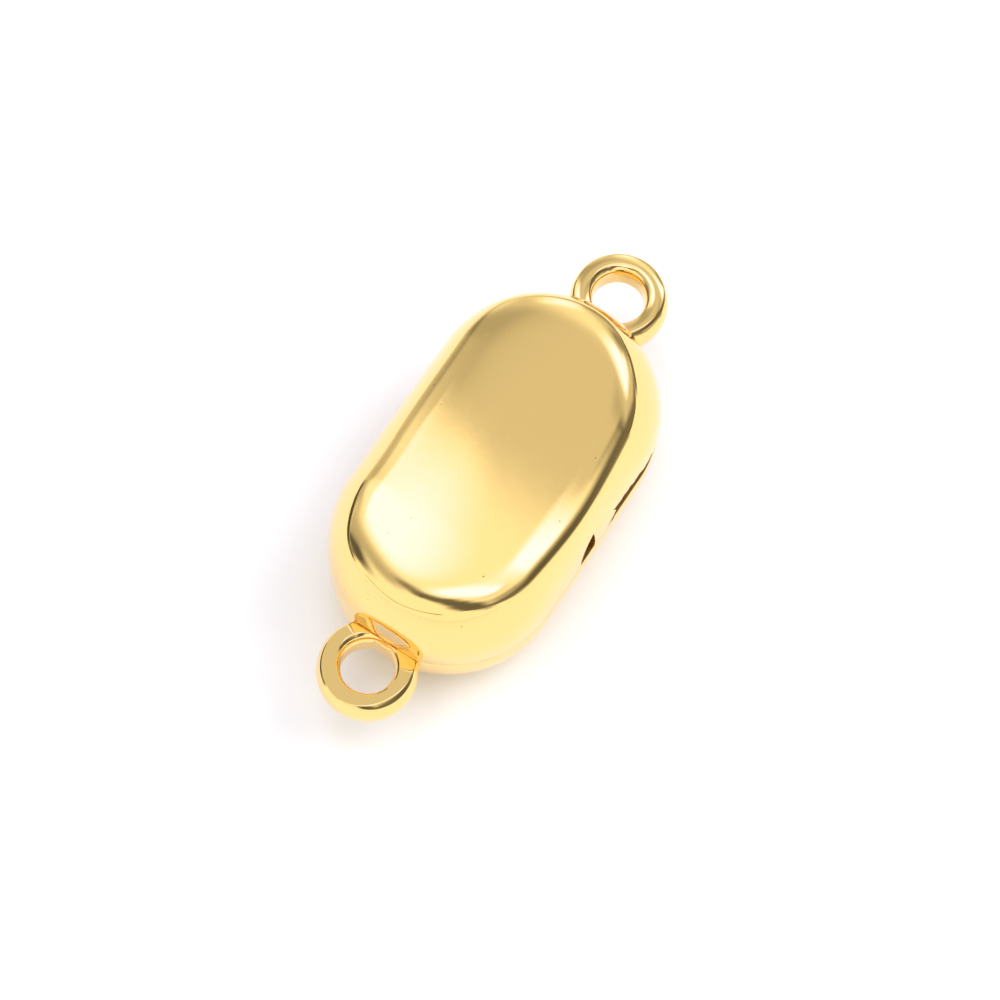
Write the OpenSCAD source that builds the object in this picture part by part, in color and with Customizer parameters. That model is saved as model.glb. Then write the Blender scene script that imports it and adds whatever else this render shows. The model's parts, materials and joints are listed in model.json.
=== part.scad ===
// Two-part magnetic clasp: two oblong cast halves that meet at a level seam, each with one ring at its own end.
// X runs along the clasp, the lower half's ring is at -X, the upper half's ring is at +X, and Z is up.
// The clasp rests on its flat lower face at z = 0, with the origin under the middle of the body.

/* [Body] */
// Length of the body, without the rings
body_length = 13.7; // [12:0.1:18]
// Width of the body where it is widest
body_width = 8; // [7.2:0.2:11]
// Height of a half's side wall, from the seam to the rim
wall_height = 2.9; // [2.8:0.1:4]
// Height above the seam at which the side wall is widest
widest_height = 0.5; // [0:0.1:1]
// How far the rim lies inside the widest outline
rim_inset = 0.78; // [0.4:0.02:1]
// Rise of the domed face above the rim
dome_rise = 0.3; // [0.1:0.05:0.6]
// Width of the rounded shoulder between the rim and the flat middle of the face
shoulder_width = 1; // [0.6:0.1:2]
// How far the shoulder's arc stands out from a straight slope
shoulder_bulge = 0.04; // [0.02:0.01:0.07]
// Gap between the two halves at the seam
seam_gap = 0.05; // [0.02:0.01:0.12]

/* [Ring] */
// Bore of the ring's eye
eye_d = 1.8; // [1.4:0.05:1.95]
// Outer diameter of the ring
ring_d = 3.4; // [3.3:0.05:4.2]
// Height of the ring, from its flat face to its rounded side
ring_height = 1.2; // [1:0.05:1.3]
// Width of the ring's flat face
ring_flat = 0.56; // [0.3:0.02:0.6]
// Radius of the ring's rounded side
ring_round = 0.5; // [0.48:0.01:0.7]
// How deep the eye's bore cuts into the ring's curved inner side
eye_land = 0.04; // [0.02:0.01:0.08]
// Distance of the ring's centre outside the body's end
ring_reach = 0.8; // [0.6:0.05:1.4]
// How far the ring's flat face stands past the middle of the seam
ring_step = 0.19; // [0.06:0.01:0.3]

/* [End flat] */
// How much of the rounded end is cut flat behind the other half's ring
flat_cut = 0.2; // [0.1:0.02:0.5]
// Gap between the end flat and the root of the other half's ring
root_gap = 0.05; // [0.03:0.01:0.12]

/* [Register keys] */
// Length of a keyway, the round-topped arch in the upper half's long side
keyway_length = 2.2; // [1.6:0.1:2.8]
// Distance of a keyway's middle from the clasp's middle, towards the upper half's ring
keyway_x = 0.15; // [0:0.05:0.5]
// Height of a keyway, to the top of its arch
keyway_height = 1.65; // [1.4:0.05:2]
// Depth of a keyway into the side wall
keyway_depth = 1.1; // [0.6:0.05:1.2]
// How far the lower half's key reaches past the keyway's middle, away from the upper half's ring
key_reach = 0.25; // [0:0.05:0.5]
// Depth of a key's root in the lower half
key_root = 0.5; // [0.3:0.1:1]
// Gap between a key's arch and its keyway, and behind the key
key_gap = 0.1; // [0.06:0.02:0.2]

/* [Magnet] */
// Length of a magnet
magnet_length = 8.6; // [6:0.2:9.4]
// Width of a magnet
magnet_width = 3.8; // [3:0.1:4.2]
// Thickness of a magnet
magnet_thickness = 1.8; // [1:0.1:2.4]
// Gap between a magnet and its pocket, all round
magnet_gap = 0.05; // [0.02:0.01:0.12]
// How far a magnet's face lies inside its half's seam face
magnet_recess = 0.05; // [0.02:0.01:0.2]

/* [Hidden] */
$fn = 72;
// How far a cut runs past the face that it opens
past = 1;

// A half is drawn with its seam face at z = 0, its domed face up and its ring at +X
half_height = wall_height + dome_rise;
end_r = body_width / 2;
end_x = body_length / 2 - end_r;
flat_x = body_length / 2 - flat_cut;
upper_seam_z = half_height + seam_gap;

// The side wall is one arc, from the seam past its widest height to the rim
bend_height = wall_height - widest_height;
bend_r = (rim_inset * rim_inset + bend_height * bend_height) / (2 * rim_inset);
rim_r = end_r - rim_inset;

// The shoulder is one arc from the flat middle of the face down to the rim
face_r = rim_r - shoulder_width;
shoulder_chord = sqrt(shoulder_width * shoulder_width + dome_rise * dome_rise);
shoulder_r = (shoulder_chord * shoulder_chord / 4 + shoulder_bulge * shoulder_bulge) / (2 * shoulder_bulge);
shoulder_back = shoulder_r - shoulder_bulge;
shoulder_x = rim_r - shoulder_width / 2 - shoulder_back * dome_rise / shoulder_chord;
shoulder_z = wall_height + dome_rise / 2 - shoulder_back * shoulder_width / shoulder_chord;

// The ring's section lies between three arcs and its flat face, and is widest at half its height
ring_x = body_length / 2 + ring_reach;
ring_out_r = ring_d / 2;
ring_in_r = eye_d / 2 - eye_land;
ring_mid_r = (ring_in_r + ring_out_r) / 2;
ring_flat_z = -seam_gap / 2 - ring_step;
ring_wide_z = ring_flat_z + ring_height / 2;
ring_top_z = ring_flat_z + ring_height;
side_bulge = (ring_out_r - ring_in_r - ring_flat) / 2;
side_r = (side_bulge * side_bulge + ring_height * ring_height / 4) / (2 * side_bulge);

// A keyway's arch springs from this height, and so does a key's
keyway_r = keyway_length / 2;
spring_z = keyway_height - keyway_r;

pocket_depth = magnet_recess + magnet_thickness + magnet_gap;

// Oblong with round ends, centred
module oblong(length, width) {
  square([length - width, width], center = true);
  for (side = [-1, 1])
    translate([side * (length - width) / 2, 0]) circle(d = width);
}

// Outline of a half's seam face, where the side wall meets it
module seam_outline() {
  seam_r = end_r - bend_r + sqrt(bend_r * bend_r - widest_height * widest_height);
  oblong(body_length - 2 * end_r + 2 * seam_r, 2 * seam_r);
}

// Half of the cup's section, from its middle out to the side wall
module cup_section() {
  intersection() {
    square([body_width, wall_height]);
    translate([end_r - bend_r, widest_height]) circle(r = bend_r);
  }
  square([face_r, half_height]);
  intersection() {
    translate([0, wall_height]) square([rim_r, dome_rise]);
    translate([shoulder_x, shoulder_z]) circle(r = shoulder_r);
  }
}

// The oblong cup, solid: the section run along the middle and turned half round at both ends
module cup() {
  rotate([90, 0, 90])
    linear_extrude(height = 2 * end_x, center = true) {
      cup_section();
      mirror([1, 0]) cup_section();
    }
  for (side = [-1, 1])
    translate([side * end_x, 0, 0]) rotate(-90 * side) rotate_extrude(angle = 180) cup_section();
}

// Section of the ring: flat on the seam's side, rounded on the other
module ring_section() {
  intersection() {
    translate([0, ring_flat_z]) square([ring_d, ring_height]);
    translate([ring_out_r - side_r, ring_wide_z]) circle(r = side_r);
    translate([ring_in_r + side_r, ring_wide_z]) circle(r = side_r);
    translate([ring_mid_r, ring_top_z - ring_round]) circle(r = ring_round);
  }
}

// The ring, with its part past the seam ending short of the other half's end flat
module ring() {
  difference() {
    translate([ring_x, 0, 0]) rotate_extrude() ring_section();
    translate([0, -ring_d / 2, -past]) cube([flat_x + root_gap, ring_d, past]);
  }
}

// One cast half without its keys or keyways
module casting() {
  difference() {
    union() {
      cup();
      ring();
    }
    translate([ring_x, 0, ring_flat_z]) cylinder(d = eye_d, h = ring_height);
    translate([-flat_x - past, -end_r, -past]) cube([past, body_width, half_height + 2 * past]);
    translate([0, 0, -past])
      linear_extrude(height = pocket_depth + past)
        oblong(magnet_length + 2 * magnet_gap, magnet_width + 2 * magnet_gap);
  }
}

// Round-topped arch over the seam, drawn in a half's long side
module arch(r) {
  translate([-r, -past]) square([2 * r, spring_z + past]);
  translate([0, spring_z]) circle(r = r);
}

// The arch run into both long sides, from outside them to a depth
module side_arches(r, depth) {
  for (side = [0, 1])
    mirror([0, side, 0])
      translate([keyway_x, end_r + past, 0]) rotate([90, 0, 0]) linear_extrude(height = depth + past) arch(r);
}

// The two keys in place, each filling most of its keyway, with its outer face flush with the side wall
module keys() {
  intersection() {
    union() {
      translate([0, 0, upper_seam_z]) cup();
      translate([0, 0, half_height - key_root]) linear_extrude(height = key_root + seam_gap) seam_outline();
    }
    translate([0, 0, upper_seam_z]) side_arches(keyway_r - key_gap, keyway_depth - key_gap);
    translate([keyway_x - key_reach, -end_r, half_height - key_root])
      cube([key_reach + keyway_r, body_width, key_root + seam_gap + keyway_height]);
  }
}

// A magnet, lying on z = 0
module magnet() {
  linear_extrude(height = magnet_thickness) oblong(magnet_length, magnet_width);
}

module lower_half() {
  color("gold") {
    translate([0, 0, half_height]) rotate([0, 180, 0]) casting();
    keys();
  }
}

module upper_half() {
  color("goldenrod")
    translate([0, 0, upper_seam_z])
      difference() {
        casting();
        side_arches(keyway_r, keyway_depth);
      }
}

module lower_magnet() {
  color("silver") translate([0, 0, half_height - magnet_recess - magnet_thickness]) magnet();
}

module upper_magnet() {
  color("lightgray") translate([0, 0, upper_seam_z + magnet_recess]) magnet();
}

lower_half();
upper_half();
lower_magnet();
upper_magnet();
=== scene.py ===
import json
import math

import bmesh
import bpy
import numpy as np
from mathutils import Matrix, Vector


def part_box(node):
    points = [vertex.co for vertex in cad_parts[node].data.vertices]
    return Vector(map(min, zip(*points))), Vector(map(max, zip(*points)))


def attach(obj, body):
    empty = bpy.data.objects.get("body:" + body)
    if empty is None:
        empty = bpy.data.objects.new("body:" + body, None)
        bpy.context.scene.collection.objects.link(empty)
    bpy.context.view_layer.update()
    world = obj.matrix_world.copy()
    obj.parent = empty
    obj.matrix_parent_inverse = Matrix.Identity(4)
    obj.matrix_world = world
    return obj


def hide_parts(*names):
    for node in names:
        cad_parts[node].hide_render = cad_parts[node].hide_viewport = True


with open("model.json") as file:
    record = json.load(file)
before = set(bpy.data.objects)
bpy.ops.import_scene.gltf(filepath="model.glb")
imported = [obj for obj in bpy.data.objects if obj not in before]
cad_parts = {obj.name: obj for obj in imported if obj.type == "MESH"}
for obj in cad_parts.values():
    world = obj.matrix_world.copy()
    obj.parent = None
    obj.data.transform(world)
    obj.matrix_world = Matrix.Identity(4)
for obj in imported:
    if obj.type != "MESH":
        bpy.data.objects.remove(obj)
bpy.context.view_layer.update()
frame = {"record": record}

mm = 0.001
merge_reach = 1e-7
scene = bpy.context.scene

ring_tip, end_radius, clasp_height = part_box("upper_half")[1]
body_length = 13.7 * mm
seam_gap = 0.05 * mm
wall_height = 2.9 * mm
widest_height = 0.5 * mm
rim_inset = 0.78 * mm
rim_slope = 0.49
face_crown = 0.1 * mm
seam_edge = 0.07 * mm
rim_edge = 0.09 * mm
seam_land = 0.3 * mm
flat_cut = 0.2 * mm
flat_edge = 0.03 * mm
pocket_length, pocket_width, pocket_depth = 8.7 * mm, 3.9 * mm, 1.9 * mm

# Steps of the cup's section: round an edge, up the wall, and over the face, where they widen from the rim in.
edge_steps, wall_steps, face_steps, face_spread = 8, 46, 84, 1.8

# Where the upper rim bulges: the place, how wide the bulge is, and how far it stands out, or in if negative.
rim_bulges = (
    (np.array((-0.4, -3.4)) * mm, 2.8 * mm, 0.33 * mm),
    (np.array((4.9, -2.3)) * mm, 1.7 * mm, -0.25 * mm),
    (np.array((-5.2, -1.9)) * mm, 1.8 * mm, -0.15 * mm),
    (np.array((-5.2, 2.4)) * mm, 1.0 * mm, 0.12 * mm),
    (np.array((-2.2, 3.1)) * mm, 1.6 * mm, -0.1 * mm),
    (np.array((4.8, 2.6)) * mm, 1.2 * mm, 0.08 * mm),
)

# Wear at the foot of the upper half's -Y wall: it starts inside the keyway, is full as far as the second
# place, and fades from there to its end, a little unevenly.
wear_start, wear_full, wear_end = 0.6 * mm, 1.2 * mm, 4.6 * mm
wear_height, wear_depth, wear_lift = 1.3 * mm, 0.24 * mm, 0.08 * mm
wear_fade, wear_rise = 0.8, 1.5
wear_places = np.linspace(0, wear_end, 36)
wear_chance = np.random.default_rng(4).uniform(0.7, 1.15, 36)

half_height = (clasp_height - seam_gap) / 2
upper_seam = half_height + seam_gap
spine = body_length / 2 - end_radius
flat_x = body_length / 2 - flat_cut
bend_height = wall_height - widest_height
bend_radius = (rim_inset**2 + bend_height**2) / (2 * rim_inset)


def wall_inset(z):
    """How far the side wall lies inside the widest outline at height z above the seam."""
    return bend_radius - math.sqrt(bend_radius**2 - (z - widest_height) ** 2)


def face_height(inset):
    """Height of the face at an inset from the widest outline, steep at the rim and flatter further in."""
    reach, rise = end_radius - rim_inset, half_height - face_crown - wall_height
    return wall_height + rise * (1 - (1 - (inset - rim_inset) / reach) ** (rim_slope * reach / rise))


def oblong_loop(half_spine, radius, z, turns=128, run=60):
    """Points of an oblong with round ends, anticlockwise from the left end of its -Y side."""
    along = np.arange(run) / run
    turn = np.pi * np.arange(turns) / turns - np.pi / 2
    front = np.c_[half_spine * (2 * along - 1), np.full(run, -radius)]
    right = np.c_[half_spine + radius * np.cos(turn), radius * np.sin(turn)]
    plan = np.vstack([front, right, -front, -right])
    return np.c_[plan, np.full(len(plan), z)]


def cup_section():
    """The cup's section as (inset, height) points, from its seam edge up the wall and in to its middle."""
    foot = wall_inset(seam_edge)
    turns = np.linspace(0, math.pi / 2, edge_steps)
    points = [(foot + seam_edge * (1 - math.sin(a)), seam_edge * (1 - math.cos(a))) for a in turns]
    heights = np.linspace(seam_edge, wall_height - rim_edge, wall_steps)
    points += [(wall_inset(z), z) for z in heights[1:]]
    start, tip = points[-1], (rim_inset, wall_height)
    end = (rim_inset + rim_edge, face_height(rim_inset + rim_edge))
    for t in np.linspace(0, 1, edge_steps)[1:]:
        curve = zip(start, tip, end)
        points.append(tuple((1 - t) ** 2 * s + 2 * t * (1 - t) * m + t * t * e for s, m, e in curve))
    inward = end[0] + (end_radius - end[0]) * np.linspace(0, 1, face_steps)[1:] ** face_spread
    points += [(inset, face_height(inset)) for inset in inward]
    return points


def closed_shell(name, loops):
    """A closed solid from loops of equal length, the first and last of which lie on a line or a point."""
    shell = bmesh.new()
    rows = [[shell.verts.new(p) for p in loop] for loop in loops]
    for low, high in zip(rows, rows[1:]):
        for k in range(len(low)):
            n = (k + 1) % len(low)
            shell.faces.new((low[k], low[n], high[n], high[k]))
    bmesh.ops.remove_doubles(shell, verts=shell.verts, dist=merge_reach)
    bmesh.ops.recalc_face_normals(shell, faces=shell.faces)
    mesh = bpy.data.meshes.new(name)
    shell.to_mesh(mesh)
    shell.free()
    piece = bpy.data.objects.new(name, mesh)
    scene.collection.objects.link(piece)
    return piece


def crowned(loop):
    """Points of the face lifted onto its slight crown, highest in the middle and ending at the rim."""
    reach = end_radius - rim_inset
    outward = -loop[0, 1] / reach
    lift = face_crown * max(1 - outward**2, 0) * (1 - (loop[:, 0] / (spine + reach)) ** 2)
    return loop + np.c_[np.zeros((len(loop), 2)), lift]


def uneven(loop):
    """The rim pushed out or in a little, as polishing left it, fading down the wall and inwards."""
    axis = np.c_[np.clip(loop[:, 0], -spine, spine), np.zeros(len(loop))]
    outward = loop[:, :2] - axis
    reach = np.linalg.norm(outward, axis=1)
    outward = outward / np.maximum(reach, 1e-9)[:, None]
    rim = axis + outward * (end_radius - rim_inset)
    push = sum(
        amount * np.exp(-((rim - place) ** 2).sum(1) / width**2)
        for place, width, amount in rim_bulges
    )
    down_wall = min(max((loop[0, 2] - widest_height) / bend_height, 0), 1) ** 2
    inwards = np.minimum(reach / (end_radius - rim_inset), 1) ** 2
    return loop + np.c_[outward * (push * down_wall * inwards)[:, None], np.zeros(len(loop))]


def end_flat(loop):
    """Points beyond the end flat brought back onto it, with a soft edge as polishing leaves it."""
    past = loop[:, 0] + flat_x
    soft = np.clip((flat_edge - past) / (2 * flat_edge), 0, 1)
    loop = loop.copy()
    loop[:, 0] = np.where(past < flat_edge, -flat_x + flat_edge * (1 - soft) ** 2, loop[:, 0])
    return loop


def seam_wear(loop):
    """The foot of the -Y wall drawn in and up, most beside the keyway, where the halves don't quite meet."""
    x, y, z = loop[:, 0], loop[:, 1], loop[0, 2]
    beside = np.clip((wear_end - x) / (wear_end - wear_full), 0, 1) ** wear_fade
    varied = beside * (x > wear_start) * np.interp(x, wear_places, wear_chance)
    amount = varied * max(1 - z / wear_height, 0) ** wear_rise * (y < 0)
    return loop + np.c_[np.zeros(len(loop)), wear_depth * amount, wear_lift * amount]


def cup(name, worn=False):
    """A half's cup with its magnet pocket and end flat, and if it is worn, its uneven rim and open seam."""
    section = cup_section()
    pocket_spine = (pocket_length - pocket_width) / 2
    pocket = [oblong_loop(pocket_spine, pocket_width / 2 * k / 4, pocket_depth) for k in range(5)]
    pocket += [oblong_loop(pocket_spine, pocket_width / 2, pocket_depth * (1 - k / 4)) for k in range(1, 5)]
    pocket.append(end_flat(oblong_loop(spine, end_radius - wall_inset(0) - seam_land, 0)))
    outside = [oblong_loop(spine, end_radius - inset, z) for inset, z in section]
    outside = [crowned(loop) if loop[0, 2] >= wall_height else loop for loop in outside]
    if worn:
        outside = [seam_wear(uneven(loop)) for loop in outside]
    return closed_shell(name, pocket + [end_flat(loop) for loop in outside])


# The gold plate: a thin bright layer over polished brass. Each reflection is tinted warm, and light that
# bounces twice between the castings turns orange.
gold_colour, pit_colour = "#FCD88B", "#B98A3C"
pits_per_mm, largest_pit = 2.4, 0.085
hairs_per_mm, hair_depth, hair_roughness = 26.0, 0.0003 * mm, 0.03
waves_per_mm, wave_depth = 2.6, 0.004 * mm
clouds_per_mm = 0.8
pit_depth, pit_roughness = 0.006 * mm, 0.3


def linear(colour):
    """A linear colour from an sRGB hex value."""
    channels = [int(colour[k : k + 2], 16) / 255 for k in (1, 3, 5)]
    return (*(c / 12.92 if c <= 0.04045 else ((c + 0.055) / 1.055) ** 2.4 for c in channels), 1)


def node(tree, kind, inputs=None, **settings):
    """Adds a node with its settings to a tree, and links or sets its inputs."""
    made = tree.nodes.new(kind)
    for key, value in settings.items():
        setattr(made, key, value)
    for key, value in (inputs or {}).items():
        if isinstance(value, bpy.types.NodeSocket):
            tree.links.new(value, made.inputs[key])
        else:
            made.inputs[key].default_value = value
    return made


gold = bpy.data.materials.new("polished_gold_plate")
gold.use_nodes = True
tree = gold.node_tree
metal = tree.nodes["Principled BSDF"]
metal.inputs["Metallic"].default_value = 1
where = node(tree, "ShaderNodeTexCoord")
to_mm = {0: where.outputs["Object"], 1: (1 / mm,) * 3}
place = node(tree, "ShaderNodeVectorMath", to_mm, operation="MULTIPLY").outputs[0]

# Pits: a few in every square millimetre at most, where the plate bridges a pore of the casting. The largest
# one's radius is given as a share of the pits' spacing.
cell = node(tree, "ShaderNodeTexVoronoi", {"Vector": place, "Scale": pits_per_mm, "Randomness": 1.0})
kept = node(tree, "ShaderNodeSeparateColor", {"Color": cell.outputs["Color"]})
reach = node(
    tree,
    "ShaderNodeMapRange",
    {"Value": kept.outputs["Red"], "From Min": 0.5, "To Min": 0.0, "To Max": largest_pit},
)
depth = node(
    tree,
    "ShaderNodeMath",
    {0: cell.outputs["Distance"], 1: reach.outputs["Result"]},
    operation="SUBTRACT",
)
pit = node(
    tree,
    "ShaderNodeMapRange",
    {"Value": depth.outputs[0], "From Min": -0.03, "From Max": 0.01, "To Min": 1.0, "To Max": 0.0},
)

# Hairlines: left by the mop in patches, all slanting one way. The real ones are finer, and these are drawn as
# coarse as they need to be to show.
drawn = node(
    tree,
    "ShaderNodeMapping",
    {"Vector": place, "Rotation": (0.4, 0.3, 0.9), "Scale": (0.7, hairs_per_mm, hairs_per_mm)},
)
lines = node(tree, "ShaderNodeTexNoise", {"Vector": drawn.outputs["Vector"], "Scale": 1.0, "Detail": 2.0})
hair = node(
    tree,
    "ShaderNodeMapRange",
    {"Value": lines.outputs["Fac"], "From Min": 0.7, "From Max": 0.8},
)

# Orange peel: the side walls are polished by hand, less evenly than the faces.
peel = node(
    tree,
    "ShaderNodeTexNoise",
    {"Vector": place, "Scale": waves_per_mm, "Detail": 3.0, "Roughness": 0.55},
)
facing = node(tree, "ShaderNodeSeparateXYZ", {"Vector": where.outputs["Normal"]})
upright = node(tree, "ShaderNodeMath", {0: facing.outputs["Z"]}, operation="ABSOLUTE")
wall = node(
    tree,
    "ShaderNodeMapRange",
    {"Value": upright.outputs[0], "From Min": 0.75, "From Max": 0.97, "To Min": 1.0, "To Max": 0.12},
)
swell = node(
    tree,
    "ShaderNodeMath",
    {0: peel.outputs["Fac"], 1: wall.outputs["Result"]},
    operation="MULTIPLY",
)

# Polish: a little duller in broad clouds, along the hairlines and in the pits.
cloudy = node(
    tree,
    "ShaderNodeTexNoise",
    {"Vector": place, "Scale": clouds_per_mm, "Detail": 4.0, "Roughness": 0.6},
)
dull = node(
    tree,
    "ShaderNodeMapRange",
    {"Value": cloudy.outputs["Fac"], "From Min": 0.3, "From Max": 0.7, "To Min": 0.03, "To Max": 0.065},
)
rough = node(
    tree,
    "ShaderNodeMath",
    {0: hair.outputs["Result"], 1: hair_roughness, 2: dull.outputs["Result"]},
    operation="MULTIPLY_ADD",
)
rougher = node(
    tree,
    "ShaderNodeMath",
    {0: pit.outputs["Result"], 1: pit_roughness, 2: rough.outputs[0]},
    operation="MULTIPLY_ADD",
)
tint = node(
    tree,
    "ShaderNodeMix",
    {"Factor": pit.outputs["Result"], 6: linear(gold_colour), 7: linear(pit_colour)},
    data_type="RGBA",
)
grain = node(
    tree,
    "ShaderNodeBump",
    {"Height": swell.outputs[0], "Strength": 1.0, "Distance": wave_depth},
)
scored = node(
    tree,
    "ShaderNodeBump",
    {"Height": hair.outputs["Result"], "Distance": hair_depth, "Normal": grain.outputs["Normal"]},
    invert=True,
)
pitted = node(
    tree,
    "ShaderNodeBump",
    {"Height": pit.outputs["Result"], "Distance": pit_depth, "Normal": scored.outputs["Normal"]},
    invert=True,
)
tree.links.new(tint.outputs[2], metal.inputs["Base Color"])
tree.links.new(rougher.outputs[0], metal.inputs["Roughness"])
tree.links.new(pitted.outputs["Normal"], metal.inputs["Normal"])

# Painted shade: a dark brown coat, mottled and half dull, on the faces where the seam gapes, at the back of
# the keyway beside it and in the chip of its key, standing in for the shade that falls in these gaps.
painted_shade = bpy.data.materials.new("painted_gap_shade")
painted_shade.use_nodes = True
tree = painted_shade.node_tree
shade_coat = tree.nodes["Principled BSDF"]
shade_coat.inputs["Metallic"].default_value = 0.5
shade_coat.inputs["Roughness"].default_value = 0.45
where = node(tree, "ShaderNodeTexCoord")
shade_mottle = node(
    tree,
    "ShaderNodeTexNoise",
    {"Vector": where.outputs["Object"], "Scale": 9 / mm, "Detail": 3.0},
)
brown = node(
    tree,
    "ShaderNodeMix",
    {"Factor": shade_mottle.outputs["Fac"], 6: linear("#2E1E06"), 7: linear("#A0782E")},
    data_type="RGBA",
)
tree.links.new(brown.outputs[2], shade_coat.inputs["Base Color"])


# The ring of a half: cast in one with its cup, flat on the seam's side and rounded on the other, with its
# edges filed by hand. Its eye is drilled through, which leaves a narrow land inside. Past the seam its root
# stops short of the other half's end flat, with a filed corner. The lower ring is bent up a little.
eye = next(m for m in frame["record"]["mounts"] if m["name"] == "upper_eye")
eye_radius = eye["dims"]["r_mm"] * mm
ring_x = eye["pos_m"][0]
ring_outer = ring_tip - ring_x
ring_height = 1.2 * mm
ring_flat = 0.56 * mm
edge_run, edge_slopes = 0.06 * mm, (0.58, 1.19)
crown_half, crown_radius, shoulder_radius = 0.245 * mm, 0.815 * mm, 0.15 * mm
shoulder_turn = math.radians(75)
eye_land = 0.04 * mm
flat_stop = 0.01 * mm
root_gap = 0.004 * mm
ring_bend = math.radians(3.8)
ring_turns = 144
flat_steps, bevel_steps, side_steps, shoulder_steps, crown_steps = 14, 6, 18, 10, 14
ring_low = eye["pos_m"][2] - upper_seam - ring_height / 2
ring_middle = (eye_radius - eye_land + ring_outer) / 2

# The root's filed corner: places along Y with its width there, and its height as a share of the root's.
root_corner = ((1.5 * mm, 0.07 * mm), (-0.5 * mm, 0.03 * mm), (-1.5 * mm, 0.34 * mm))
corner_drop = 0.15

# The filed edges: their size, the way they face, and for each ring how steep they start and how they bend.
filed_width, filed_height, filed_inset = 0.22 * mm, 0.4 * mm, 0.12 * mm
filed_side = (0.447, 0.894)
inner_share = 0.8
upper_filing, lower_filing = (0.2, 0.9 / mm), (0.29, 0.8 / mm)


def ring_section():
    """The ring's section as (distance from its middle radius, height) points round its outline."""
    thickness = ring_outer - eye_radius + eye_land
    bulge = (thickness - ring_flat) / 2
    side = (bulge**2 + ring_height**2 / 4) / (2 * bulge)

    def flank_at(z):
        return math.sqrt(side**2 - (z - ring_height / 2) ** 2) - side + thickness / 2

    edge_drop = edge_run * sum(edge_slopes) / 2
    edge_end = flank_at(edge_drop)
    flank = [(w, 0) for w in np.linspace(0, edge_end - edge_run - flat_stop, flat_steps)]
    for u in np.linspace(0, 1, bevel_steps):
        drop = edge_run * u * (edge_slopes[0] + u * (edge_slopes[1] - edge_slopes[0]) / 2)
        flank.append((edge_end - edge_run * (1 - u), drop))
    crown_end = math.asin(crown_half / crown_radius)
    turns = np.linspace(shoulder_turn, crown_end, shoulder_steps)
    reach = crown_half - shoulder_radius * math.sin(crown_end)
    brow = ring_height - crown_radius * (1 - math.cos(crown_end)) - shoulder_radius * math.cos(crown_end)
    shoulder = [(reach + shoulder_radius * math.sin(a), brow + shoulder_radius * math.cos(a)) for a in turns]
    flank += [(flank_at(z), z) for z in np.linspace(edge_drop, shoulder[0][1], side_steps)[1:-1]]
    flank += shoulder
    for a in np.linspace(crown_end, 0, crown_steps)[1:]:
        flank.append((crown_radius * math.sin(a), ring_height - crown_radius * (1 - math.cos(a))))
    outside = [(w, ring_low + z) for w, z in flank]
    inside = [(max(-w, eye_radius - ring_middle), ring_low + z) for w, z in flank[-2:0:-1]]
    return outside + inside


def evaluated(piece, name):
    """A plain mesh of a piece with its modifiers worked in."""
    graph = bpy.context.evaluated_depsgraph_get()
    mesh = bpy.data.meshes.new_from_object(piece.evaluated_get(graph))
    mesh.name = name
    return mesh


def combined(piece, other, operation):
    """Works another closed piece into a piece as a boolean, and drops the other one."""
    work = piece.modifiers.new(operation, "BOOLEAN")
    work.operation, work.object, work.solver = operation, other, "EXACT"
    mesh = evaluated(piece, piece.name)
    piece.modifiers.remove(work)
    piece.data = mesh
    bpy.data.objects.remove(other)


def block(name, stations):
    """A solid through outlines of equal length, closed at both ends."""
    solid = bmesh.new()
    rows = [[solid.verts.new(p) for p in outline] for outline in stations]
    for near, far in zip(rows, rows[1:]):
        for k in range(len(near)):
            n = (k + 1) % len(near)
            solid.faces.new((near[k], near[n], far[n], far[k]))
    solid.faces.new(rows[0])
    solid.faces.new(rows[-1])
    bmesh.ops.recalc_face_normals(solid, faces=solid.faces)
    mesh = bpy.data.meshes.new(name)
    solid.to_mesh(mesh)
    solid.free()
    piece = bpy.data.objects.new(name, mesh)
    scene.collection.objects.link(piece)
    return piece


def worn_edge(shell, upward, slope, bend):
    """The ring's upper edges filed off: the outer one where it faces -Y, the inner one on the other side."""
    top = ring_low + ring_height if upward > 0 else ring_low
    side = Vector((filed_side[0] * upward, filed_side[1], 0))
    edge_out = ring_middle + (ring_outer - eye_radius) / 2 - filed_inset
    edge_in = 2 * ring_middle - edge_out
    for vert in shell.verts:
        out = Vector((vert.co.x - ring_x, vert.co.y, 0))
        part = min(max(1 - upward * (top - vert.co.z) / filed_height, 0), 1)
        facing = -out.normalized().dot(side)
        outer = out.length - edge_out + filed_width * max(facing, 0) ** 2
        inner = edge_in + filed_width * inner_share * max(-facing, 0) ** 3 - out.length
        over = max(outer * (facing > 0), inner * (facing < 0), 0)
        vert.co.z -= upward * part * (slope * over + bend * over**2)


# Geometry Nodes turn the ring's section round its eye and plate it.
turning = bpy.data.node_groups.new("ring_round_eye", "GeometryNodeTree")
turning.interface.new_socket("Section", in_out="INPUT", socket_type="NodeSocketGeometry")
radius_socket = turning.interface.new_socket("Middle Radius", in_out="INPUT", socket_type="NodeSocketFloat")
turns_socket = turning.interface.new_socket("Turns", in_out="INPUT", socket_type="NodeSocketInt")
metal_socket = turning.interface.new_socket("Metal", in_out="INPUT", socket_type="NodeSocketMaterial")
turning.interface.new_socket("Ring", in_out="OUTPUT", socket_type="NodeSocketGeometry")
given = node(turning, "NodeGroupInput")
outline = node(turning, "GeometryNodeMeshToCurve", {"Mesh": given.outputs["Section"]})
circle = node(
    turning,
    "GeometryNodeCurvePrimitiveCircle",
    {"Resolution": given.outputs["Turns"], "Radius": given.outputs["Middle Radius"]},
)
upright = node(turning, "GeometryNodeSetCurveNormal", {"Curve": circle.outputs["Curve"]}, mode="Z_UP")
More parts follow.
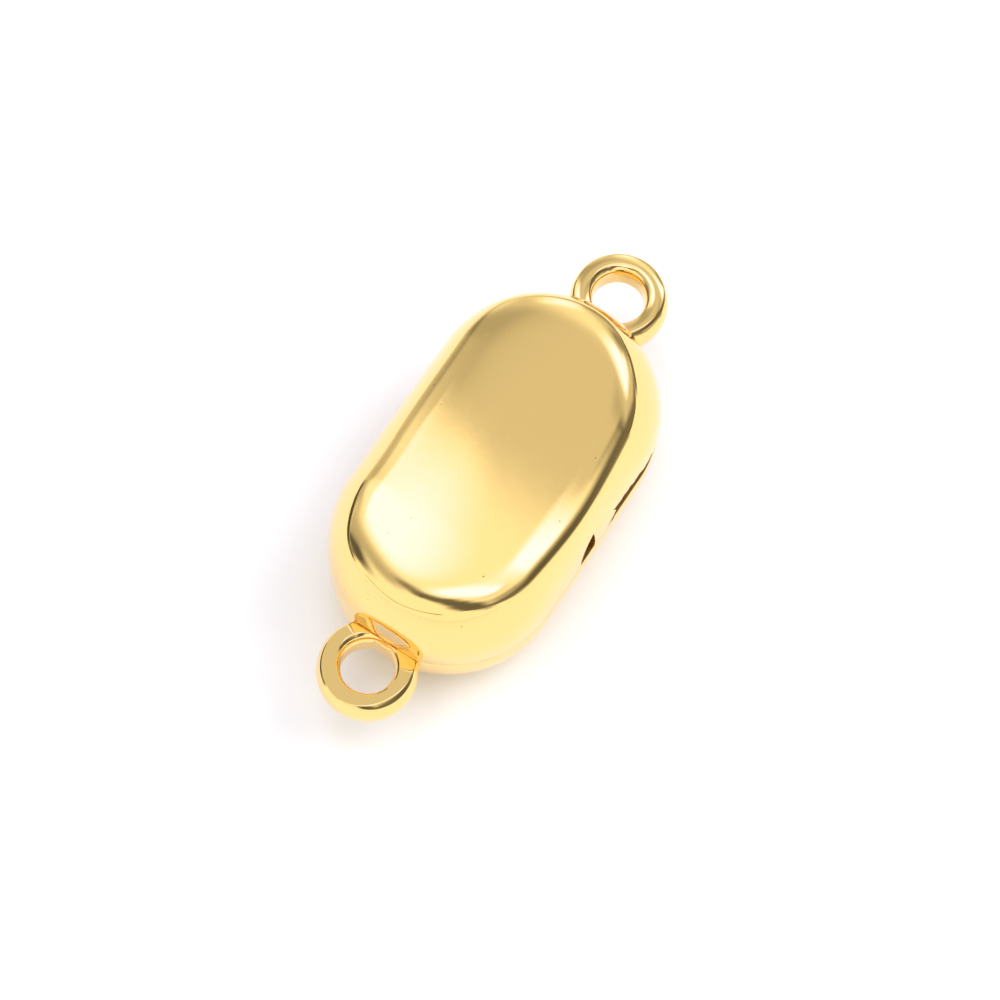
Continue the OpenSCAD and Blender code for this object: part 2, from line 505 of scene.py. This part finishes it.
swept = node(
    turning,
    "GeometryNodeCurveToMesh",
    {"Curve": upright.outputs["Curve"], "Profile Curve": outline.outputs["Curve"]},
)
real = node(turning, "GeometryNodeRealizeInstances", {"Geometry": swept.outputs["Mesh"]})
plated = node(
    turning,
    "GeometryNodeSetMaterial",
    {"Geometry": real.outputs["Geometry"], "Material": given.outputs["Metal"]},
)
node(turning, "NodeGroupOutput", {"Ring": plated.outputs["Geometry"]})


def ring(name, upward):
    """A half's ring: upward is 1 for the upper half, and -1 for the lower one, turned over later."""
    section = ring_section()
    outline_mesh = bpy.data.meshes.new(name)
    edges = [(k, (k + 1) % len(section)) for k in range(len(section))]
    outline_mesh.from_pydata([(w, -z, 0) for w, z in section], edges, [])
    piece = bpy.data.objects.new(name, outline_mesh)
    scene.collection.objects.link(piece)
    turn = piece.modifiers.new("turn", "NODES")
    turn.node_group = turning
    turn[radius_socket.identifier] = ring_middle
    turn[turns_socket.identifier] = ring_turns
    turn[metal_socket.identifier] = gold
    mesh = evaluated(piece, name)
    piece.modifiers.remove(turn)
    shell = bmesh.new()
    shell.from_mesh(mesh)
    bmesh.ops.remove_doubles(shell, verts=shell.verts, dist=merge_reach)
    bmesh.ops.translate(shell, verts=shell.verts, vec=(ring_x, 0, 0))
    worn_edge(shell, upward, *(upper_filing if upward > 0 else lower_filing))
    bmesh.ops.recalc_face_normals(shell, faces=shell.faces)
    shell.to_mesh(mesh)
    shell.free()
    piece.data = mesh
    root = flat_x + root_gap
    low = ring_low * (1 - corner_drop)
    deep = 3 * ring_low - 2 * low
    stations = []
    for y, corner in root_corner:
        profile = [(spine, 0), (root, 0), (root, low), (root + corner, ring_low)]
        profile += [(root + 3 * corner, deep), (spine, deep)]
        stations.append([(x, y, z) for x, z in profile])
    combined(piece, block(name + "_corner", stations), "DIFFERENCE")
    return piece


# The register keys: one cast on each long side of the lower half, standing flush in a round-topped keyway of
# the upper half. A key is shorter than its keyway towards the lower half's ring, which leaves a small hole
# there, and the -Y key has a chipped corner.
keyway_radius = 1.1 * mm
keyway_x = 0.15 * mm
keyway_height = 1.65 * mm
keyway_depth = 1.1 * mm
key_reach = 0.25 * mm
key_root = 0.5 * mm
key_gap = 0.03 * mm
cut_past = 1 * mm
sliver = 0.001 * mm
arch_steps, key_steps = 73, 48
spring = keyway_height - keyway_radius

# The chip: places along X with how deep it cuts in and how high it reaches, and its foot, front and outside.
chip_places = (
    (0.8 * mm, -3.94 * mm, 0.3 * mm),
    (1.05 * mm, -3.85 * mm, 0.7 * mm),
    (1.4 * mm, -3.66 * mm, 1.2 * mm),
)
chip_foot, chip_front, chip_outside = -0.04 * mm, -4.01 * mm, -5 * mm


def arches(name, radius, depth, left):
    """Round-topped prisms through both long sides, from below the seam to the arch, cut off at left."""
    outline = [(radius, -cut_past)]
    for a in np.linspace(0, math.pi, arch_steps):
        x, z = radius * math.cos(a), spring + radius * math.sin(a)
        if x > left + sliver:
            outline.append((x, z))
    if left > -radius:
        outline.append((left, spring + math.sqrt(radius**2 - left**2)))
    outline.append((left, -cut_past))
    pair = []
    for side in (-1, 1):
        ends = (side * (end_radius - depth), side * (end_radius + cut_past))
        pair.append(block(name, [[(keyway_x + x, y, z) for x, z in outline] for y in ends]))
    joined = bmesh.new()
    for prism in pair:
        joined.from_mesh(prism.data)
    joined.to_mesh(pair[0].data)
    joined.free()
    bpy.data.objects.remove(pair[1])
    return pair[0]


def key_blank(name):
    """The outside of the upper half's wall over the outline of the seam, without the seam's round edge."""
    foot = end_radius - wall_inset(0)
    below = -seam_gap - key_root
    loops = [oblong_loop(spine, foot * k / 3, below) for k in range(4)]
    loops += [oblong_loop(spine, foot, below * (1 - k / 4)) for k in range(1, 4)]
    heights = np.linspace(0, wall_height, key_steps)
    loops += [oblong_loop(spine, end_radius - wall_inset(z), z) for z in heights]
    loops += [oblong_loop(spine, (end_radius - rim_inset) * (1 - k / 3), wall_height) for k in range(1, 4)]
    return closed_shell(name, loops)


def placed(piece, matrix):
    """A piece with its mesh moved to its place."""
    piece.data.transform(matrix)
    return piece


lift = Matrix.Translation((0, 0, upper_seam))
turn_over = Matrix.Translation((0, 0, half_height)) @ Matrix.Rotation(math.pi, 4, "Y")
bend_at = Vector((ring_x, 0, ring_low))
bent = Matrix.Translation(bend_at) @ Matrix.Rotation(ring_bend, 4, "Y") @ Matrix.Translation(-bend_at)

upper_casting = cup("upper_casting", worn=True)
combined(upper_casting, ring("upper_ring", 1), "UNION")
combined(upper_casting, arches("keyways", keyway_radius, keyway_depth, -keyway_radius), "DIFFERENCE")
placed(upper_casting, lift)

keys = key_blank("keys")
key_arches = arches("key_outline", keyway_radius - key_gap, keyway_depth - key_gap, -key_reach)
combined(keys, key_arches, "INTERSECT")
chip = []
for x, y, z in chip_places:
    foot = [(x, chip_outside, chip_foot), (x, y, chip_foot)]
    chip.append(foot + [(x, chip_front, z), (x, chip_outside, z)])
combined(keys, block("chip", chip), "DIFFERENCE")
placed(keys, lift)
lower_casting = placed(cup("lower_casting"), turn_over)
combined(lower_casting, placed(ring("lower_ring", -1), turn_over @ bent), "UNION")
combined(lower_casting, keys, "UNION")

# Both castings in place: gold plated all over, with painted shade on the faces in the seam's gap, the keyway
# and the chip, and each riding its body instead of its CAD half. The painted shade's places are in
# millimetres.
gapes, gape_front = ((1, 4.7), (-1, -0.05)), -3.4
keyway_back = ((-1.1, 1.3), (-2.98, -2.85))
chip_room, chip_rise = ((0.7, 1.3), (-3.93, -3.45)), 0.35
level, straight = 0.01 * mm, 0.9
crisp_angle = math.radians(32)


def within(value, limits):
    """Whether a value in metres lies between two limits in millimetres."""
    return limits[0] * mm < value < limits[1] * mm


def gets_painted_shade(face):
    """Whether a face gets the painted shade: on the land where the seam gapes, at the back of the -Y keyway,
    or in the chip.
    """
    (x, y, z), normal = face.center, face.normal
    in_gape = any(within(x, gape) for gape in gapes) and y < gape_front * mm
    on_land = in_gape and abs(z - half_height) < level and normal.z > straight
    at_back = within(x, keyway_back[0]) and within(y, keyway_back[1]) and z > half_height
    in_chip = within(x, chip_room[0]) and within(y, chip_room[1]) and abs(z - upper_seam) < chip_rise * mm
    return on_land or at_back and abs(normal.y) > straight or in_chip and normal.y > -straight


halves = ((lower_casting, "lower_body", "lower_half"), (upper_casting, "upper_body", "upper_half"))
for casting, body, cad_node in halves:
    casting.data.materials.clear()
    casting.data.materials.append(gold)
    # The second material is painted shade, a dark coat for the faces in the gaps.
    casting.data.materials.append(painted_shade)
    for face in casting.data.polygons:
        face.material_index = 1 if gets_painted_shade(face) else 0
    casting.data.shade_smooth()
    casting.data.set_sharp_from_angle(angle=crisp_angle)
    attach(casting, body)
    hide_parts(cad_node)


# The magnets: sintered blocks with round ends, nickel-plated, glued in the pockets just under the seam
# faces. The nickel is tumbled, which gives a satin shine with shallow dents, and is stained a little.
magnet_edge = 0.15 * mm
magnet_turns, magnet_run = 24, 12
nickel = bpy.data.materials.new("nickel_plate")
nickel.use_nodes = True
tree = nickel.node_tree
plate = tree.nodes["Principled BSDF"]
plate.inputs["Metallic"].default_value = 1
where = node(tree, "ShaderNodeTexCoord")
stain = node(
    tree,
    "ShaderNodeTexNoise",
    {"Vector": where.outputs["Object"], "Scale": 0.9 / mm, "Detail": 5.0},
)
shade = node(
    tree,
    "ShaderNodeMix",
    {"Factor": stain.outputs["Fac"], 6: linear("#C9C3B8"), 7: linear("#E2E0DC")},
    data_type="RGBA",
)
tumbled = node(
    tree,
    "ShaderNodeTexNoise",
    {"Vector": where.outputs["Object"], "Scale": 14 / mm, "Detail": 2.0},
)
satin = node(
    tree,
    "ShaderNodeMapRange",
    {"Value": tumbled.outputs["Fac"], "From Min": 0.3, "From Max": 0.7, "To Min": 0.16, "To Max": 0.3},
)
dents = node(tree, "ShaderNodeBump", {"Height": tumbled.outputs["Fac"], "Distance": 0.002 * mm})
tree.links.new(shade.outputs[2], plate.inputs["Base Color"])
tree.links.new(satin.outputs["Result"], plate.inputs["Roughness"])
tree.links.new(dents.outputs["Normal"], plate.inputs["Normal"])
for name, body in (("lower_magnet", "lower_body"), ("upper_magnet", "upper_body")):
    low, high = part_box(name)
    radius = (high.y - low.y) / 2
    half_spine = (high.x - low.x) / 2 - radius
    flat = radius - magnet_edge
    rounding = np.linspace(0, math.pi / 2, 6)
    outline = [(flat * k / 3, low.z) for k in range(3)]
    for a in rounding:
        outline.append((radius - magnet_edge * (1 - math.sin(a)), low.z + magnet_edge * (1 - math.cos(a))))
    for a in rounding:
        outline.append((radius - magnet_edge * (1 - math.cos(a)), high.z - magnet_edge * (1 - math.sin(a))))
    outline += [(flat * (1 - k / 3), high.z) for k in range(1, 4)]
    loops = [oblong_loop(half_spine, reach, z, magnet_turns, magnet_run) for reach, z in outline]
    magnet = closed_shell(name + "_block", loops)
    magnet.data.shade_smooth()
    magnet.data.materials.append(nickel)
    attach(magnet, body)
    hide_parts(name)


# The floor: a sheet of plain white paper, matt, with faint fibres. Under these lamps it is bright enough to
# lose itself in white around the clasp.
floor_half = 0.6
floor_corners = ((-1, -1), (1, -1), (1, 1), (-1, 1))
mesh = bpy.data.meshes.new("floor")
mesh.from_pydata([(x * floor_half, y * floor_half, 0) for x, y in floor_corners], [], [(0, 1, 2, 3)])
floor = bpy.data.objects.new("floor", mesh)
scene.collection.objects.link(floor)
paper = bpy.data.materials.new("white_paper")
paper.use_nodes = True
tree = paper.node_tree
sheet = tree.nodes["Principled BSDF"]
sheet.inputs["Roughness"].default_value = 0.9
where = node(tree, "ShaderNodeTexCoord")
fibres = node(
    tree,
    "ShaderNodeTexNoise",
    {"Vector": where.outputs["Object"], "Scale": 2.2 / mm, "Detail": 4.0, "Distortion": 0.8},
)
white = node(
    tree,
    "ShaderNodeMix",
    {"Factor": fibres.outputs["Fac"], 6: linear("#F3F3F2"), 7: linear("#F5F5F4")},
    data_type="RGBA",
)
tree.links.new(white.outputs[2], sheet.inputs["Base Color"])
mesh.materials.append(paper)


# The light: a white studio tent round the clasp. Its cloth is brightest, and bluer, where daylight tubes
# stand close behind it, and the camera's opening and the dark room past it leave grey bands.
tent_radius, tent_edge, heading_step = 0.6, 94, 1.5
cloth_light = 1.22
tube_red_loss, tube_green_loss = 0.88, 0.85

# Each panel is a soft-edged stroke on a map of the sky: from one place to another, in degrees off the zenith
# towards +X and +Y, with its half width and softness in degrees, and the light that it gives.
panels = (
    # table edge and dark wall behind the clasp
    ((32, 84), (-42, 80), 28, 6, 0.1),
    ((76, -38), (84, 4), 10, 5, 0.2),
    ((84, 4), (56, 62), 12, 5, 0.22),
    # seam of the cloth past the near end
    ((-50, 34), (-61, 8), 2.5, 2, 0.4),
    ((-61, 8), (-54, -30), 2.5, 2, 0.4),
    # cloth over the far end, less lit, with a fold
    ((46, 72), (46, -2), 30.2, 1.8, 0.76),
    ((26, 24), (27, 60), 8.5, 7, 0.5),
    ((44, 46), (60, 52), 8, 6, 0.95),
    ((24, 50), (32, 54), 3, 5, 0.25),
    # cloth left of the tubes
    ((-4, 14), (-2, 46), 6, 5, 0.6),
    ((8, 44), (10, 62), 5, 6, 0.6),
    # tube overhead, seen broad and soft
    ((11, 30), (12.5, 42), 4, 5, 1.4),
    ((10, 13), (11, 26), 4.8, 3, 3.1),
    # dark room past the tent's mouth
    ((-16, 31), (-16, 44), 9, 5, 0.13),
    ((-26, 42), (-40, 60), 8, 6, 0.3),
    # long tube beside the camera
    ((-1, -13), (8, -14), 3, 3, 0.9),
    ((9.5, -3), (9.5, -15), 1.5, 4.5, 2.1),
    ((3.2, 1), (2.2, -9.5), 3.4, 2.2, 3.4),
    ((13.6, -4.5), (13.9, -19), 1.8, 2.8, 3.8),
    # the camera's opening and the floor of the dark room
    ((-6, -24), (3, -25), 3, 5, 0.45),
    ((0, -45), (12, -45), 16.5, 8, 0.27),
    ((26, -4), (26, -16), 3, 3, 0.58),
    ((23.6, -15.5), (25.2, -33), 2.6, 3, 0.24),
    ((-1.5, 8.5), (-5, 3), 2.6, 2, 0.3),
    ((-5, 3), (-6.5, -3), 2.8, 2, 0.17),
    ((-6.5, -3), (-9.5, -9), 3, 2.2, 0.17),
    ((-9.5, -9), (-14, -17), 3.6, 2.4, 0.16),
    ((-14, -17), (-20, -28), 6, 3, 0.16),
    ((-18, -36), (0, -38), 9, 4, 0.2),
    ((17, -40), (30, -40), 16, 6.3, 0.14),
    ((30, -39), (54, -38), 11, 4, 0.2),
    ((-27, -40), (-31, -52), 4, 5, 0.5),
    ((-2, -52), (26, -56), 4, 4, 0.62),
    ((22, -45), (42, -41), 5, 4, 0.17),
    ((28, -52), (34, -66), 4, 4, 0.35),
    # tube past the far end
    ((37, 1.5), (39.4, -11), 4.6, 2.5, 3.5),
    ((41, -11), (46.5, -15), 3, 2.2, 2.8),
    ((54, -6), (60, -16), 5, 4, 0.33),
    ((65, -22), (65, 14), 3.5, 3, 0.22),
    ((40, 8), (56, 26), 8, 6, 1.15),
    ((50, 21), (56, 23), 5, 4, 2.5),
)
lean, heading = np.meshgrid(np.arange(0, tent_edge), np.arange(0, 360, heading_step), indexing="ij")
place = np.stack([lean * np.cos(np.radians(heading)), lean * np.sin(np.radians(heading))], -1)
light = np.full(lean.shape, cloth_light)
for start, end, half_width, softness, lit in panels:
    start, line = np.array(start), np.array(end) - start
    part = np.clip((place - start) @ line / (line @ line), 0, 1)
    away = np.linalg.norm(place - start - part[..., None] * line, axis=-1)
    share = np.clip((half_width + softness - away) / (2 * softness), 0, 1)
    share = share * share * (3 - 2 * share)
    light += (lit - light) * share
tube = np.maximum(light - cloth_light, 0)
red, green, solid = light - tube_red_loss * tube, light - tube_green_loss * tube, np.ones(light.shape)
colour = np.stack([red, green, light, solid], -1)
slant, turn = np.radians(lean), np.radians(heading)
towards = np.stack([np.sin(slant) * np.cos(turn), np.sin(slant) * np.sin(turn), np.cos(slant)], -1)
rows, columns = lean.shape
faces = []
for r in range(rows - 1):
    for c in range(columns):
        n = (c + 1) % columns
        faces.append((r * columns + c, r * columns + n, (r + 1) * columns + n, (r + 1) * columns + c))
mesh = bpy.data.meshes.new("tent")
mesh.from_pydata((towards * tent_radius).reshape(-1, 3), [], faces)
cloth = mesh.attributes.new("light", "FLOAT_COLOR", "POINT")
cloth.data.foreach_set("color", colour.ravel().astype(np.float32))
tent = bpy.data.objects.new("tent", mesh)
scene.collection.objects.link(tent)
lit_cloth = bpy.data.materials.new("lit_tent_cloth")
lit_cloth.use_nodes = True
lit_cloth.cycles.emission_sampling = "NONE"
tree = lit_cloth.node_tree
tree.nodes.remove(tree.nodes["Principled BSDF"])
glow = node(tree, "ShaderNodeAttribute", attribute_name="light").outputs["Color"]
shine = node(tree, "ShaderNodeEmission", {"Color": glow}).outputs["Emission"]
tree.links.new(shine, tree.nodes["Material Output"].inputs["Surface"])
mesh.materials.append(lit_cloth)

# Two fill lamps, which the gold doesn't mirror, light the paper. The one on the right is the stronger, and
# leaves the clasp's soft shadow at its left. Each has its power, and its place on the same map of the sky.
fill_lamps = (("right_fill", 0.83, 42, -42), ("top_fill", 0.43, 12, 110))
fill_colour = (1, 0.985, 0.96)
fill_size, fill_distance = 0.3, 0.4
for name, watts, fill_lean, fill_heading in fill_lamps:
    fill = bpy.data.lights.new(name, "AREA")
    fill.shape, fill.size = "DISK", fill_size
    fill.energy = watts
    fill.color = fill_colour
    fill_lamp = bpy.data.objects.new(name, fill)
    slant, turn = math.radians(fill_lean), math.radians(fill_heading)
    aim = Vector((math.sin(slant) * math.cos(turn), math.sin(slant) * math.sin(turn), math.cos(slant)))
    facing_clasp = aim.to_track_quat("Z", "Y").to_matrix().to_4x4()
    fill_lamp.matrix_world = Matrix.Translation(aim * fill_distance) @ facing_clasp
    fill_lamp.visible_glossy = False
    scene.collection.objects.link(fill_lamp)


# The camera: a long lens close above the clasp, rolled and shifted a little as the photograph is framed. It
# looks down from the lower half's end, on the -Y side.
elevation, azimuth, roll = (math.radians(a) for a in (71.5, 61.57, 5.01))
distance = 100.7 * mm
shift_right, shift_down = -0.1555 * mm, -0.5648 * mm
forward = Vector((math.sin(azimuth), math.cos(azimuth), 0))
across = Vector((math.cos(azimuth), -math.sin(azimuth), 0))
above = forward * math.sin(elevation) + Vector((0, 0, math.cos(elevation)))
back = Vector((0, 0, math.sin(elevation))) - forward * math.cos(elevation)
right = across * math.cos(roll) + above * math.sin(roll)
up = above * math.cos(roll) - across * math.sin(roll)
middle = Vector((0, 0, half_height + seam_gap / 2))
centre = middle - right * shift_right + up * shift_down + back * distance
lens = bpy.data.cameras.new("camera")
lens.sensor_width, lens.lens = 36, 108
lens.clip_start, lens.clip_end = 1 * mm, 10
camera = bpy.data.objects.new("camera", lens)
camera.matrix_world = Matrix.Translation(centre) @ Matrix((right, up, back)).transposed().to_4x4()
scene.collection.objects.link(camera)
scene.camera = camera
scene.view_settings.view_transform = "Standard"
